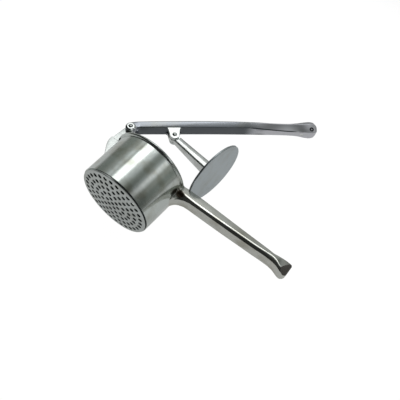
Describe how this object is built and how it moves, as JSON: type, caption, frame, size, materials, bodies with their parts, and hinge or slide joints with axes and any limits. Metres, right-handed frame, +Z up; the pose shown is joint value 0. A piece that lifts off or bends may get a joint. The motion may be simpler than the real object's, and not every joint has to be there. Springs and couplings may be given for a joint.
{
  "type": "passatelli maker",
  "caption": "Hand lever press for passatelli: a cast cup with a perforated plate and a fixed handle, and a hinged lever that carries a swinging round plunger.",
  "frame": {"origin": "middle of the underside of the whole press as it lies on its side, with its lever open as in the picture", "axes": "+X runs from the lever hinge's side along the fixed handle to its end, +Y runs along the cup from the perforated plate to the mouth, and +Z is up, across both handles and along both hinge pins"},
  "size_m": [0.2514, 0.2534, 0.0974],
  "materials": {
    "cast_aluminium": "polished",
    "plate_aluminium": "matte",
    "disc_aluminium": "satin",
    "rivet_aluminium": "polished"
  },
  "bodies": {
    "cup": {"cup_body": "cast_aluminium", "perforated_plate": "plate_aluminium"},
    "lever": {"lever": "cast_aluminium", "pivot_rivet": "rivet_aluminium", "plunger_rivet": "rivet_aluminium"},
    "plunger": {"plunger_stem": "cast_aluminium", "plunger_disc": "disc_aluminium"}
  },
  "joints": [
    {"name": "lever_hinge", "type": "hinge", "parent": "cup", "child": "lever", "pos_m": [-0.11795, -0.03885, 0.0487], "axis": [0, 0, 1], "range_deg": [0, 135]},
    {"name": "plunger_hinge", "type": "hinge", "parent": "lever", "child": "plunger", "pos_m": [-0.07323, -0.01116, 0.0487], "axis": [0, 0, 1], "range_deg": [0, 26]}
  ]
}
